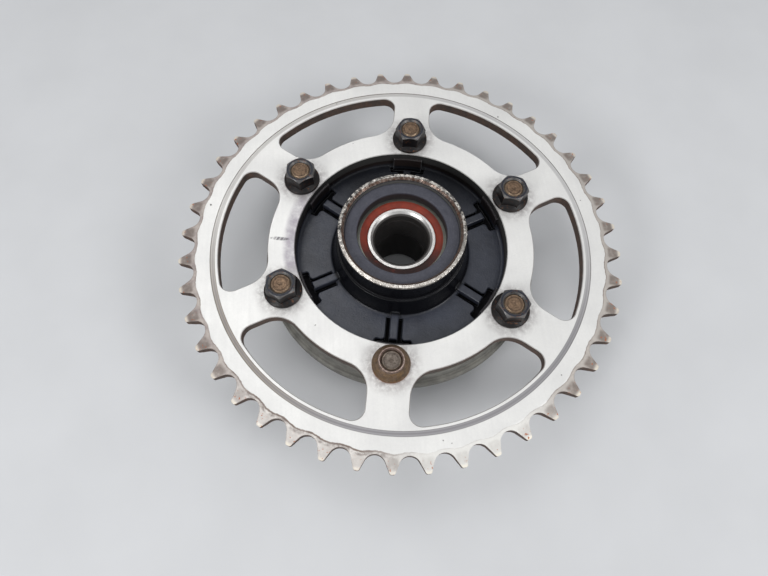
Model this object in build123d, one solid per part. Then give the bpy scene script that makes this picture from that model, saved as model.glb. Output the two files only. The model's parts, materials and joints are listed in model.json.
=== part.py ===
"""Motorcycle rear sprocket on its cush-drive carrier, with the carrier bearing, seal and spacers.

Millimetres. Z is the wheel axis: the vanes that drive the wheel's rubber dampers stand on Z = 0 and the
side that carries the chain ring and the oil seal faces up. The first stud is 30 degrees round from +X.
"""
from build123d import *
from math import asin, cos, degrees, pi, radians, sin, tan
import os

# ---- driving dimensions ------------------------------------------------------------------------------
# chain ring
TOOTH_COUNT = 44
CHAIN_PITCH = 15.875
ROLLER_SEAT_RADIUS = 5.13
WORN_TIP_HEIGHT = 2.89             # pitch circle out to the worn tips
TOOTH_PHASE = 2.24                 # degrees from the top stud (at 90) round to the next tooth tip
SEAT_HALF_ANGLE = 62.0             # degrees of roller seat each side of the bottom of a gap
DRIVE_FLANK_ANGLE = 28.0           # degrees from radial, the flank that the chain pulls on
COAST_FLANK_ANGLE = 23.5
TIP_ROUND = 1.1                    # worn corners of the tooth tips
PLATE_THICKNESS = 6.0
TOOTH_BEVEL_INSET = 1.13           # bottom of the tooth gaps in to where the bevel starts
TOOTH_BEVEL_DEPTH = 1.45           # how far each face has dropped at the tooth tips
RING_GROOVE_INSET = 8.23           # bottom of the tooth gaps in to the turned groove
RING_GROOVE_WIDTH = 2.4
RING_GROOVE_DEPTH = 0.35
RIM_WIDTH = 12.23                  # bottom of the tooth gaps in to the windows
WINDOW_OUTER_CORNER = 6.0
WINDOW_INNER_CORNER = 14.0
SPOKE_WIDTH = 20.4
SPROCKET_BORE_RADIUS = 55.0
EDGE_BREAK = 0.35                  # small chamfer on machined edges
TOUCHING = 0.01                    # slack for telling which circle a corner lies on

# studs and nuts
STUD_COUNT = 6
FIRST_STUD_ANGLE = 30.0
BORE_TO_STUD_CIRCLE = 10.0
STUD_CIRCLE_TO_WINDOWS = 3.8
STUD_RADIUS = 5.0
STUD_HOLE_CLEARANCE = 0.25
STUD_GRIP_DEPTH = 15.5             # length of stud inside the carrier
STUD_REACH = 9.6                   # stud end above the chain ring's face
DEEP_STUD_REACH = 7.8              # the stud under the round nut is wound further in
STUD_END_CHAMFER = 0.8
NUT_WALL = 2.1                     # stud out to the flats
NUT_HEIGHT = 10.0
NUT_FLANGE_WIDTH = 2.4             # flats out to the edge of the flange
NUT_FLANGE_THICKNESS = 1.5
NUT_FLANGE_SLOPE = 1.6             # height of the cone between flange and flats
NUT_BEVEL = 1.1
NUT_COUNTERSINK = 0.9
NUT_TURNS = {1: -7, 2: 2, 3: 35, 4: 35, 6: 5}   # degrees from +X to a corner of each hexagon
ROUND_NUT_STUD = 5
ROUND_NUT_BASE_WIDTH = 4.2         # stud out to the edge of the foot
ROUND_NUT_COLLAR_WALL = 1.1
ROUND_NUT_FOOT_HEIGHT = 2.2
ROUND_NUT_CONE_HEIGHT = 5.4
ROUND_NUT_NECK_HEIGHT = 6.6
ROUND_NUT_HEIGHT = 8.9
ROUND_NUT_NECK_WIDTH = 1.4

# carrier casting
SEAT_HEIGHT = 40.0                 # chain ring's seat above the feet of the vanes
STUD_CIRCLE_TO_SEAT_EDGE = 4.5
LIP_WIDTH = 2.5                    # seat edge out to the edge of the lip below it
LIP_DROP = 8.5                     # seat down to the top of the lip
LIP_HEIGHT = 6.0
WEB_RECESS = 4.0                   # seat down to the web
WEB_THICKNESS = 8.0
BOSS_WALL = 3.0                    # bearing out to the boss
BOSS_RISE = 20.5                   # seat up to the boss rim
BOSS_LEDGE_RISE = 7.0
BOSS_LEDGE_WIDTH = 1.5
BOSS_FLARE = 4.3                   # how much wider the boss is at its foot
BOSS_FOOT_FILLET = 2.0
BOSS_ENTRY_CHAMFER = 1.25
RIB_WIDTH = 4.2
RIB_RISE = 2.2                     # web up to the top of a rib
RIB_ROUND = 0.8
GROOVE_WIDTH = 2.0                 # groove cast each side of a rib
GROOVE_CORNER = 2.0                # where the groove opens into the pocket
LUG_RISE = 3.0                     # seat up to the top of a pilot lug
LUG_WIDTH = 1.5
LUG_HALF_ANGLE = 8.3
PILOT_CLEARANCE = 0.1
POCKET_WIDTH = 3.3                 # from a pilot lug towards the boss
POCKET_HALF_ANGLE = 10.5
POCKET_CORNER = 1.1
RELIEF_DEPTH = 3.4                 # depth of pockets and grooves below the web
RELIEF_BEVEL = 0.5
CORE_WIDTH = 8.5                   # ring-shaped hollows cast into the underside of the rim
CORE_HALF_ANGLE = 19.0
CORE_ROOF = 7.0
STUD_BOSS_WALL = 4.5
STUD_BOSS_FLOOR = 3.0
HUB_WALL = 5.5                     # bearing out to the hub below the web
HUB_BOTTOM = 14.0
VANE_COUNT = 6
FIRST_VANE_ANGLE = 0.0
VANE_INSET = 3.0                   # seat edge in to the ends of the vanes
VANE_ROOT_HALF_WIDTH = 5.4
VANE_END_HALF_WIDTH = 8.5
VANE_WALL = 3.4
VANE_CORE_DEPTH = 20.0
VANE_CORNER = 3.0
CASTING_OVERLAP = 1.5              # how far ribs, vanes and hub run into each other
WIDE_ROUND = 1.5                   # roundings of cast edges
CAST_ROUND = 1.0
SMALL_ROUND = 0.6
FINE_ROUND = 0.3                   # rounding of turned and moulded edges

# bearing, 28 x 58 x 16
BEARING_BORE_RADIUS = 14.0
BEARING_OUTER_RADIUS = 29.0
BEARING_WIDTH = 16.0
BALL_COUNT = 9
BALL_RADIUS = 4.3655
BALL_CLEARANCE = 0.04
RACE_DEPTH = 1.4655                # how far a ball sits in each ring
BEARING_CORNER = 1.0
BEARING_SEAL_THICKNESS = 1.0
BEARING_SEAL_RECESS = 0.6          # below the bearing's faces
BEARING_SEAL_BITE = 0.5            # how far the seal sits into the outer ring
BEARING_SEAL_GAP = 0.08
CAGE_GAP = 1.1                     # cage to each ring
CAGE_UNDER_BALL = 1.0
CAGE_RISE = 1.9                    # how far the cage's fingers pass the middle of the balls
CAGE_POCKET_CLEARANCE = 0.12
BEARING_SHOULDER_WIDTH = 3.8
BEARING_SHOULDER_RELIEF = 2.0

# circlip, seal and spacers
CIRCLIP_THICKNESS = 1.75
CIRCLIP_GROOVE_DEPTH = 1.4
CIRCLIP_GROOVE_PLAY = 0.1
CIRCLIP_WIDTH = 3.7
CIRCLIP_GAP_ANGLE = 26.0
CIRCLIP_SEAL_GAP = 1.65
CIRCLIP_EAR_RADIUS = 2.6
CIRCLIP_EAR_HOLE_RADIUS = 1.1
SEAL_SINK = 3.5                    # boss rim down to the seal's face
SEAL_WIDTH = 9.6
SEAL_JACKET = 0.8
SEAL_CASE_WALL = 1.0
SEAL_CASE_LIFT = 0.5               # seal's lower end up to the case
SEAL_MOUTH_DEPTH = 5.6
SEAL_MOUTH_GAP = 5.3               # collar out to the mouth of the seal
SEAL_CASE_FLANGE_GAP = 3.8         # collar out to the case's flange
SEAL_LIP_GAP = 0.05
SEAL_LIP_BITE = 1.2                # how far the lip is moulded round the flange
SEAL_LIP_LAND = 0.4
SEAL_LIP_SKIN = 0.6
SEAL_LIP_HALF_WIDTH = 1.3
SEAL_SPRING_RADIUS = 0.65
SEAL_SPRING_GAP = 2.5              # collar out to the middle of the spring
COLLAR_WALL = 3.4
COLLAR_SINK = 10.0                 # boss rim down to the collar's end face
COLLAR_BEVEL = 1.9
SLEEVE_TIP_HEIGHT = 3.0            # end of the inner sleeve above the feet of the vanes
SLEEVE_FLANGE_WIDTH = 1.2
SLEEVE_FLANGE_THICKNESS = 3.0
SLEEVE_HUB_GAP = 1.6

# ---- radii and heights that follow from them ---------------------------------------------------------
pitch_radius = CHAIN_PITCH / 2 / sin(pi / TOOTH_COUNT)
root_radius = pitch_radius - ROLLER_SEAT_RADIUS
tip_radius = pitch_radius + WORN_TIP_HEIGHT
window_outer_radius = root_radius - RIM_WIDTH
stud_circle_radius = SPROCKET_BORE_RADIUS + BORE_TO_STUD_CIRCLE
window_inner_radius = stud_circle_radius + STUD_CIRCLE_TO_WINDOWS
seat_inner_radius = SPROCKET_BORE_RADIUS + EDGE_BREAK
seat_outer_radius = stud_circle_radius + STUD_CIRCLE_TO_SEAT_EDGE
lip_radius = seat_outer_radius + LIP_WIDTH
vane_end_radius = seat_outer_radius - VANE_INSET
lug_inner_radius = SPROCKET_BORE_RADIUS - LUG_WIDTH
pocket_inner_radius = lug_inner_radius - POCKET_WIDTH
boss_radius = BEARING_OUTER_RADIUS + BOSS_WALL
hub_radius = BEARING_OUTER_RADIUS + HUB_WALL
circlip_groove_radius = BEARING_OUTER_RADIUS + CIRCLIP_GROOVE_DEPTH
bearing_pitch_radius = (BEARING_BORE_RADIUS + BEARING_OUTER_RADIUS) / 2
inner_land_radius = bearing_pitch_radius - BALL_RADIUS + RACE_DEPTH
outer_land_radius = bearing_pitch_radius + BALL_RADIUS - RACE_DEPTH
collar_radius = BEARING_BORE_RADIUS + COLLAR_WALL
sleeve_flange_radius = collar_radius + SLEEVE_FLANGE_WIDTH
hub_bore_radius = sleeve_flange_radius + SLEEVE_HUB_GAP
seal_mouth_radius = collar_radius + SEAL_MOUTH_GAP
seal_case_outer = BEARING_OUTER_RADIUS - SEAL_JACKET
seal_case_inner = seal_case_outer - SEAL_CASE_WALL
seal_flange_radius = collar_radius + SEAL_CASE_FLANGE_GAP
spring_ring_radius = collar_radius + SEAL_SPRING_GAP

face_height = SEAT_HEIGHT + PLATE_THICKNESS
web_top = SEAT_HEIGHT - WEB_RECESS
web_bottom = web_top - WEB_THICKNESS
relief_floor = web_top - RELIEF_DEPTH
lip_top = SEAT_HEIGHT - LIP_DROP
lip_bottom = lip_top - LIP_HEIGHT
stud_bottom = SEAT_HEIGHT - STUD_GRIP_DEPTH
boss_top = SEAT_HEIGHT + BOSS_RISE
collar_top = boss_top - COLLAR_SINK
seal_top = boss_top - SEAL_SINK
seal_bottom = seal_top - SEAL_WIDTH
seal_ledge = seal_top - SEAL_MOUTH_DEPTH
seal_flange_bottom = seal_ledge - SEAL_CASE_WALL
seal_case_bottom = seal_bottom + SEAL_CASE_LIFT
seal_case_top = seal_top - SEAL_JACKET
spring_height = seal_flange_bottom - 2 * SEAL_SPRING_RADIUS
circlip_top = seal_bottom - CIRCLIP_SEAL_GAP
bearing_top = circlip_top - CIRCLIP_THICKNESS
bearing_bottom = bearing_top - BEARING_WIDTH
bearing_middle = (bearing_top + bearing_bottom) / 2

stud_angles = [FIRST_STUD_ANGLE + 360 / STUD_COUNT * n for n in range(STUD_COUNT)]
vane_angles = [FIRST_VANE_ANGLE + 360 / VANE_COUNT * n for n in range(VANE_COUNT)]
ball_angles = [360 / BALL_COUNT * n for n in range(BALL_COUNT)]

os.makedirs("parts", exist_ok=True)


# ---- building blocks ---------------------------------------------------------------------------------
def turned(*corners):
    """Solid turned about Z from corners given as (radius, height) or (radius, height, rounding)."""
    points = [corner[:2] for corner in corners]
    roundings = [corner[2] if len(corner) == 3 else 0 for corner in corners]
    outline = FilletPolyline(*points, radius=roundings, close=True)
    return revolve(Plane.XZ * make_face(outline), Axis.Z)


def ring(inner, outer, bottom, top):
    """Plain ring about Z."""
    return turned((inner, bottom), (outer, bottom), (outer, top), (inner, top))


def ring_segment(inner, outer, bottom, top, middle, half_angle):
    """Piece of a ring, half_angle degrees each side of the middle angle."""
    reach = outer * 2
    ends = [(reach * cos(radians(a)), reach * sin(radians(a))) for a in (middle - half_angle, middle + half_angle)]
    wedge = extrude(make_face(Polyline((0, 0), *ends, close=True)), top)
    return ring(inner, outer, bottom, top) & wedge


def at_angle(angle, radius, height, shape):
    """The shape moved out along +X by radius, up by height, then turned about Z."""
    return Rot(0, 0, angle) * Pos(radius, 0, height) * shape


def upright(radius, bottom, top):
    """Cylinder on Z from one height to another."""
    return Pos(0, 0, bottom) * Cylinder(radius, top - bottom, align=(Align.CENTER, Align.CENTER, Align.MIN))


def save(name, shape):
    export_step(shape, f"parts/{name}.step")


# ---- chain ring --------------------------------------------------------------------------------------
def tooth_gap():
    """Outline of the space between two teeth, opening outwards along +X."""
    past_tips = tip_radius + 4
    seat_end = radians(SEAT_HALF_ANGLE)
    seat_x = pitch_radius - ROLLER_SEAT_RADIUS * cos(seat_end)
    seat_y = ROLLER_SEAT_RADIUS * sin(seat_end)
    drive_y = seat_y + (past_tips - seat_x) * tan(radians(DRIVE_FLANK_ANGLE))
    coast_y = seat_y + (past_tips - seat_x) * tan(radians(COAST_FLANK_ANGLE))
    seat = ThreePointArc((seat_x, -seat_y), (root_radius, 0), (seat_x, seat_y))
    flanks = Polyline((seat_x, seat_y), (past_tips, drive_y), (past_tips, -coast_y), (seat_x, -seat_y))
    return make_face([seat, flanks])


def toothed_disc():
    """Outline of the ring of teeth, with nothing cut inside it."""
    tooth_step = 360 / TOOTH_COUNT
    first_gap = 90 + TOOTH_PHASE + tooth_step / 2
    gaps = [Rot(0, 0, first_gap + n * tooth_step) * tooth_gap() for n in range(TOOTH_COUNT)]
    disc = Sketch() + Circle(tip_radius) - gaps
    return fillet([v for v in disc.vertices() if Vector(v).length > tip_radius - TOUCHING], TIP_ROUND)


def window_outlines():
    """The six windows between the spokes."""
    height = window_outer_radius - window_inner_radius
    middle_radius = (window_outer_radius + window_inner_radius) / 2
    band = Circle(window_outer_radius) - Circle(window_inner_radius)
    band -= [Rot(0, 0, a) * Pos(middle_radius, 0) * Rectangle(2 * height, SPOKE_WIDTH) for a in stud_angles]
    outer_corners = [v for v in band.vertices() if Vector(v).length > middle_radius]
    band = fillet(outer_corners, min(WINDOW_OUTER_CORNER, 0.3 * height))
    inner_corners = [v for v in band.vertices() if Vector(v).length < window_inner_radius + TOUCHING]
    return fillet(inner_corners, min(WINDOW_INNER_CORNER, 0.6 * height))


def pierced_blank():
    """Flat disc with the bore, windows and stud holes, their edges broken on both faces."""
    hole = Circle(STUD_RADIUS + STUD_HOLE_CLEARANCE)
    outline = Sketch() + Circle(tip_radius) - Circle(SPROCKET_BORE_RADIUS) - window_outlines()
    outline -= [Rot(0, 0, a) * Pos(stud_circle_radius, 0) * hole for a in stud_angles]
    blank = Pos(0, 0, SEAT_HEIGHT) * extrude(outline, PLATE_THICKNESS)
    levels = blank.faces().filter_by(Plane.XY)
    return chamfer([edge for level in levels for wire in level.inner_wires() for edge in wire.edges()], EDGE_BREAK)


def make_sprocket():
    plate = pierced_blank() & Pos(0, 0, SEAT_HEIGHT) * extrude(toothed_disc(), PLATE_THICKNESS)
    start = root_radius - TOOTH_BEVEL_INSET
    outside = tip_radius + 2
    drop = TOOTH_BEVEL_DEPTH / (tip_radius - start) * (outside - start)
    above = face_height + 1
    below = SEAT_HEIGHT - 1
    plate -= turned((start, face_height), (outside, face_height - drop), (outside, above), (start, above))
    plate -= turned((start, SEAT_HEIGHT), (start, below), (outside, below), (outside, SEAT_HEIGHT + drop))
    groove_outer = root_radius - RING_GROOVE_INSET
    groove_floor = face_height - RING_GROOVE_DEPTH
    return plate - ring(groove_outer - RING_GROOVE_WIDTH, groove_outer, groove_floor, above)


# ---- carrier casting ---------------------------------------------------------------------------------
def vane_outline(wall=0.0, start=None):
    """Trapezoid of one vane along +X, inset by a wall for its core."""
    root = hub_radius - CASTING_OVERLAP
    taper = (VANE_END_HALF_WIDTH - VANE_ROOT_HALF_WIDTH) / (vane_end_radius - root)
    inner = start or root
    outer = vane_end_radius - wall
    inner_half = VANE_ROOT_HALF_WIDTH + taper * (inner - root) - wall
    outer_half = VANE_END_HALF_WIDTH - taper * wall - wall
    corner = max(VANE_CORNER - wall, VANE_WALL / 3)
    inner_corner = corner if start else 0
    points = [(inner, -inner_half), (outer, -outer_half), (outer, outer_half), (inner, inner_half)]
    return make_face(FilletPolyline(*points, radius=[inner_corner, corner, corner, inner_corner], close=True))


def carrier_body():
    """Boss, web, seat and lip, turned in one piece, with the bore stepped for bearing, circlip and seal."""
    rim_inner = seat_outer_radius - VANE_WALL
    groove_top = circlip_top + CIRCLIP_GROOVE_PLAY
    ledge_height = SEAT_HEIGHT + BOSS_LEDGE_RISE
    shoulder_radius = BEARING_OUTER_RADIUS - BEARING_SHOULDER_WIDTH
    relief = bearing_bottom - BEARING_SHOULDER_RELIEF
    return turned(
        (hub_bore_radius, HUB_BOTTOM),
        (hub_radius, HUB_BOTTOM, CAST_ROUND),
        (hub_radius, web_bottom, BOSS_FOOT_FILLET),
        (rim_inner, web_bottom, CAST_ROUND),
        (rim_inner, lip_bottom),
        (lip_radius, lip_bottom, SMALL_ROUND),
        (lip_radius, lip_top, WIDE_ROUND),
        (seat_outer_radius, lip_top, CAST_ROUND),
        (seat_outer_radius, SEAT_HEIGHT, SMALL_ROUND),
        (seat_inner_radius, SEAT_HEIGHT),
        (seat_inner_radius, web_top, WIDE_ROUND),
        (boss_radius + BOSS_FLARE, web_top, BOSS_FOOT_FILLET),
        (boss_radius + BOSS_LEDGE_WIDTH, ledge_height, SMALL_ROUND),
        (boss_radius, ledge_height, SMALL_ROUND),
        (boss_radius, boss_top, FINE_ROUND),
        (BEARING_OUTER_RADIUS + BOSS_ENTRY_CHAMFER, boss_top),
        (BEARING_OUTER_RADIUS, boss_top - BOSS_ENTRY_CHAMFER),
        (BEARING_OUTER_RADIUS, groove_top),
        (circlip_groove_radius, groove_top),
        (circlip_groove_radius, bearing_top),
        (BEARING_OUTER_RADIUS, bearing_top),
        (BEARING_OUTER_RADIUS, bearing_bottom),
        (shoulder_radius, bearing_bottom),
        (shoulder_radius, relief),
        (hub_bore_radius, relief),
    )


def relief_outline():
    """Pocket in front of a pilot lug along +X, joined to the grooves beside its rib."""
    reach = 2 * seat_inner_radius
    sides = [(reach * cos(radians(a)), reach * sin(radians(a))) for a in (-POCKET_HALF_ANGLE, POCKET_HALF_ANGLE)]
    pocket = Circle(lug_inner_radius + LUG_WIDTH / 3) - Circle(pocket_inner_radius)
    pocket &= make_face(Polyline((0, 0), *sides, close=True))
    pocket = fillet([v for v in pocket.vertices() if Vector(v).length < lug_inner_radius], POCKET_CORNER)
    half_width = RIB_WIDTH / 2 + GROOVE_WIDTH
    grooves = Rectangle(lug_inner_radius, 2 * half_width, align=(Align.MIN, Align.CENTER))
    outline = pocket + (grooves - Circle(boss_radius + BOSS_FLARE + BOSS_FOOT_FILLET))
    mouths = [v for v in outline.vertices() if v.X > pocket_inner_radius - 1 and abs(v.Y) < half_width + TOUCHING]
    return fillet(mouths, GROOVE_CORNER)


def relief(angle):
    """Cutter for one pocket with its grooves, flared at the top to bevel the web's edge."""
    outline = relief_outline()
    cutter = Pos(0, 0, relief_floor) * extrude(outline, RELIEF_DEPTH + BOSS_FOOT_FILLET)
    flare = Pos(0, 0, web_top - RELIEF_BEVEL) * extrude(outline, 2 * RELIEF_BEVEL, taper=-45)
    return Rot(0, 0, angle) * (cutter + flare)


def lug(angle):
    """Arc that centres the chain ring's bore beside each stud."""
    pilot = SPROCKET_BORE_RADIUS - PILOT_CLEARANCE
    top = SEAT_HEIGHT + LUG_RISE
    foot = ring_segment(lug_inner_radius, seat_inner_radius, relief_floor, SEAT_HEIGHT, angle, LUG_HALF_ANGLE)
    head = ring_segment(lug_inner_radius, pilot, SEAT_HEIGHT, top, angle, LUG_HALF_ANGLE)
    return foot + chamfer(head.edges().group_by(Axis.Z)[-1].filter_by(GeomType.CIRCLE), EDGE_BREAK)


def rib(angle):
    """Radial stiffener on the web, from the boss to the pocket, rounded along its top."""
    inner = boss_radius + CASTING_OVERLAP
    length = pocket_inner_radius - inner
    block = Box(length, RIB_WIDTH, RIB_RISE + RELIEF_DEPTH, align=(Align.MIN, Align.CENTER, Align.MIN))
    open_top_edges = block.faces().sort_by(Axis.Z)[-1].edges().sort_by(Axis.X)[1:]
    return at_angle(angle, inner, relief_floor, fillet(open_top_edges, RIB_ROUND))


def stud_boss(angle):
    """Solid metal round a stud, kept inside the lip."""
    bottom = stud_bottom - STUD_BOSS_FLOOR
    pillar = at_angle(angle, stud_circle_radius, 0, upright(STUD_RADIUS + STUD_BOSS_WALL, bottom, SEAT_HEIGHT))
    return pillar & upright(lip_radius, bottom, SEAT_HEIGHT)


def rim_core(angle):
    """Ring-shaped hollow under the rim, at the foot of a vane."""
    outer = seat_outer_radius - VANE_WALL
    return ring_segment(outer - CORE_WIDTH, outer, 0, SEAT_HEIGHT - CORE_ROOF, angle, CORE_HALF_ANGLE)


def vane(angle):
    """Hollow vane that pushes on the wheel's rubber dampers."""
    body = extrude(vane_outline(), web_top - CASTING_OVERLAP)
    core = extrude(vane_outline(VANE_WALL, hub_radius + 2 * VANE_WALL), VANE_CORE_DEPTH)
    return Rot(0, 0, angle) * (body - core)


def make_carrier():
    casting = carrier_body()
    for angle in stud_angles:
        casting -= relief(angle)
    for angle in vane_angles:
        casting -= rim_core(angle)
    for angle in stud_angles:
        casting += stud_boss(angle) + lug(angle) + rib(angle)
    for angle in vane_angles:
        casting += vane(angle)
    for angle in stud_angles:
        hole = upright(STUD_RADIUS, stud_bottom, SEAT_HEIGHT + LUG_RISE)
        casting -= at_angle(angle, stud_circle_radius, 0, hole)
    return casting


# ---- studs and nuts ----------------------------------------------------------------------------------
def make_stud(reach):
    top = face_height + reach
    slim = STUD_RADIUS - STUD_END_CHAMFER
    return turned(
        (0, stud_bottom),
        (slim, stud_bottom),
        (STUD_RADIUS, stud_bottom + STUD_END_CHAMFER),
        (STUD_RADIUS, top - STUD_END_CHAMFER),
        (slim, top),
        (0, top),
    )


def make_flange_nut(turn):
    """Hexagon nut with a washer-shaped foot, bevelled at the top and countersunk."""
    flat_radius = STUD_RADIUS + NUT_WALL
    corner_radius = flat_radius / cos(pi / 6)
    flange_radius = flat_radius + NUT_FLANGE_WIDTH
    cone_top = NUT_FLANGE_THICKNESS + NUT_FLANGE_SLOPE
    hexagon = extrude(RegularPolygon(corner_radius, 6, rotation=turn), NUT_HEIGHT)
    envelope = turned(
        (0, 0),
        (corner_radius, 0),
        (corner_radius, NUT_HEIGHT - NUT_BEVEL),
        (flat_radius - FINE_ROUND, NUT_HEIGHT),
        (0, NUT_HEIGHT),
    )
    foot = turned(
        (0, 0),
        (flange_radius, 0, FINE_ROUND),
        (flange_radius, NUT_FLANGE_THICKNESS, SMALL_ROUND),
        (flat_radius - FINE_ROUND, cone_top),
        (0, cone_top),
    )
    mouth = NUT_HEIGHT - NUT_COUNTERSINK
    hole = turned(
        (0, -1),
        (STUD_RADIUS, -1),
        (STUD_RADIUS, mouth),
        (STUD_RADIUS + NUT_COUNTERSINK, NUT_HEIGHT),
        (0, NUT_HEIGHT),
    )
    return (hexagon & envelope) + foot - hole


def make_round_nut():
    """Nut with no flats: a cone that ends in a raised collar."""
    base = STUD_RADIUS + ROUND_NUT_BASE_WIDTH
    collar = STUD_RADIUS + ROUND_NUT_COLLAR_WALL
    mouth = ROUND_NUT_COLLAR_WALL / 2
    return turned(
        (STUD_RADIUS, 0),
        (base, 0, SMALL_ROUND),
        (base, ROUND_NUT_FOOT_HEIGHT, CAST_ROUND),
        (collar + ROUND_NUT_NECK_WIDTH, ROUND_NUT_CONE_HEIGHT, WIDE_ROUND),
        (collar, ROUND_NUT_NECK_HEIGHT, SMALL_ROUND),
        (collar, ROUND_NUT_HEIGHT, FINE_ROUND),
        (STUD_RADIUS + mouth, ROUND_NUT_HEIGHT),
        (STUD_RADIUS, ROUND_NUT_HEIGHT - 2 * mouth),
    )


# ---- bearing -----------------------------------------------------------------------------------------
def groove_cutter():
    """Torus that the balls sweep, with clearance."""
    return Pos(0, 0, bearing_middle) * Torus(bearing_pitch_radius, BALL_RADIUS + BALL_CLEARANCE)


def make_bearing_outer_ring():
    recess = BEARING_SEAL_RECESS + BEARING_SEAL_THICKNESS
    seal_seat = outer_land_radius + BEARING_SEAL_BITE
    body = turned(
        (outer_land_radius, bearing_bottom + recess),
        (seal_seat, bearing_bottom + recess),
        (seal_seat, bearing_bottom),
        (BEARING_OUTER_RADIUS, bearing_bottom, BEARING_CORNER),
        (BEARING_OUTER_RADIUS, bearing_top, BEARING_CORNER),
        (seal_seat, bearing_top),
        (seal_seat, bearing_top - recess),
        (outer_land_radius, bearing_top - recess),
    )
    return body - groove_cutter()


def make_bearing_inner_ring():
    body = turned(
        (BEARING_BORE_RADIUS, bearing_bottom, BEARING_CORNER),
        (inner_land_radius, bearing_bottom, FINE_ROUND),
        (inner_land_radius, bearing_top, FINE_ROUND),
        (BEARING_BORE_RADIUS, bearing_top, BEARING_CORNER),
    )
    return body - groove_cutter()


def make_bearing_seal(bottom):
    inner = inner_land_radius + BEARING_SEAL_GAP
    outer = outer_land_radius + BEARING_SEAL_BITE
    return ring(inner, outer, bottom, bottom + BEARING_SEAL_THICKNESS)


def make_ball(angle):
    return at_angle(angle, bearing_pitch_radius, bearing_middle, Sphere(BALL_RADIUS))


def make_cage():
    """Crown cage: a ring under the balls with fingers that reach past their middles."""
    bottom = bearing_middle - BALL_RADIUS - CAGE_POCKET_CLEARANCE - CAGE_UNDER_BALL
    top = bearing_middle + CAGE_RISE
    crown = ring(inner_land_radius + CAGE_GAP, outer_land_radius - CAGE_GAP, bottom, top)
    pocket_ball = Sphere(BALL_RADIUS + CAGE_POCKET_CLEARANCE)
    for angle in ball_angles:
        crown -= at_angle(angle, bearing_pitch_radius, bearing_middle, pocket_ball)
    return crown


# ---- circlip, seal and spacers -----------------------------------------------------------------------
def make_circlip():
    """Internal circlip: an open ring with two drilled ears beside its gap."""
    outer = circlip_groove_radius - CIRCLIP_GROOVE_PLAY
    inner = outer - CIRCLIP_WIDTH
    clip = ring(inner, outer, bearing_top, circlip_top)
    clip -= ring_segment(inner - 1, outer + 1, bearing_top, circlip_top, 90, CIRCLIP_GAP_ANGLE / 2)
    ear_circle = outer - CIRCLIP_EAR_RADIUS - CIRCLIP_GROOVE_PLAY
    ear_offset = CIRCLIP_GAP_ANGLE / 2 + degrees(asin(CIRCLIP_EAR_RADIUS / ear_circle))
    for angle in (90 - ear_offset, 90 + ear_offset):
        clip += at_angle(angle, ear_circle, 0, upright(CIRCLIP_EAR_RADIUS, bearing_top, circlip_top))
        clip -= at_angle(angle, ear_circle, 0, upright(CIRCLIP_EAR_HOLE_RADIUS, bearing_top, circlip_top))
    return clip


def make_seal_case():
    """Pressed steel stiffener: a cylinder with an inward flange that carries the lip."""
    return turned(
        (seal_case_inner, seal_case_bottom),
        (seal_case_outer, seal_case_bottom),
        (seal_case_outer, seal_case_top),
        (seal_case_inner, seal_case_top),
        (seal_case_inner, seal_ledge),
        (seal_flange_radius, seal_ledge),
        (seal_flange_radius, seal_flange_bottom),
        (seal_case_inner, seal_flange_bottom),
    )


def make_seal_body():
    """Rubber jacket and flat outer face of the seal."""
    return turned(
        (seal_case_outer, seal_bottom),
        (BEARING_OUTER_RADIUS, seal_bottom, FINE_ROUND),
        (BEARING_OUTER_RADIUS, seal_top, SMALL_ROUND),
        (seal_mouth_radius, seal_top, SMALL_ROUND),
        (seal_mouth_radius, seal_ledge),
        (seal_case_inner, seal_ledge),
        (seal_case_inner, seal_case_top),
        (seal_case_outer, seal_case_top),
    )


def make_seal_spring():
    return Pos(0, 0, spring_height) * Torus(spring_ring_radius, SEAL_SPRING_RADIUS)


def make_seal_lip():
    """Sealing lip: runs on the collar, with a groove for the garter spring behind it."""
    tip = collar_radius + SEAL_LIP_GAP
    root = seal_flange_radius + SEAL_LIP_BITE
    lip = turned(
        (seal_flange_radius, seal_ledge),
        (seal_flange_radius, seal_flange_bottom),
        (root, seal_flange_bottom),
        (root, seal_flange_bottom - SEAL_LIP_SKIN),
        (spring_ring_radius, spring_height),
        (spring_ring_radius - SEAL_LIP_HALF_WIDTH, spring_height - SEAL_SPRING_RADIUS, FINE_ROUND),
        (tip, spring_height + SEAL_LIP_SKIN),
        (tip, spring_height + SEAL_LIP_SKIN + SEAL_LIP_LAND),
        (tip + SEAL_LIP_SKIN, seal_flange_bottom + SEAL_LIP_LAND, FINE_ROUND),
        (tip + 2 * SEAL_LIP_HALF_WIDTH, seal_ledge, FINE_ROUND),
    )
    return lip - make_seal_spring()


def make_collar():
    """Spacer that the seal runs on, bevelled inside its outer end."""
    return turned(
        (BEARING_BORE_RADIUS, bearing_top),
        (collar_radius, bearing_top, FINE_ROUND),
        (collar_radius, collar_top, FINE_ROUND),
        (BEARING_BORE_RADIUS + COLLAR_BEVEL, collar_top),
        (BEARING_BORE_RADIUS, collar_top - COLLAR_BEVEL),
    )


def make_sleeve():
    """Spacer from the bearing's inner ring towards the wheel, flanged where it meets the ring."""
    shoulder = bearing_bottom - SLEEVE_FLANGE_THICKNESS
    return turned(
        (BEARING_BORE_RADIUS, SLEEVE_TIP_HEIGHT, SMALL_ROUND),
        (collar_radius, SLEEVE_TIP_HEIGHT, SMALL_ROUND),
        (collar_radius, shoulder, FINE_ROUND),
        (sleeve_flange_radius, shoulder, FINE_ROUND),
        (sleeve_flange_radius, bearing_bottom),
        (BEARING_BORE_RADIUS, bearing_bottom),
    )


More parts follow.
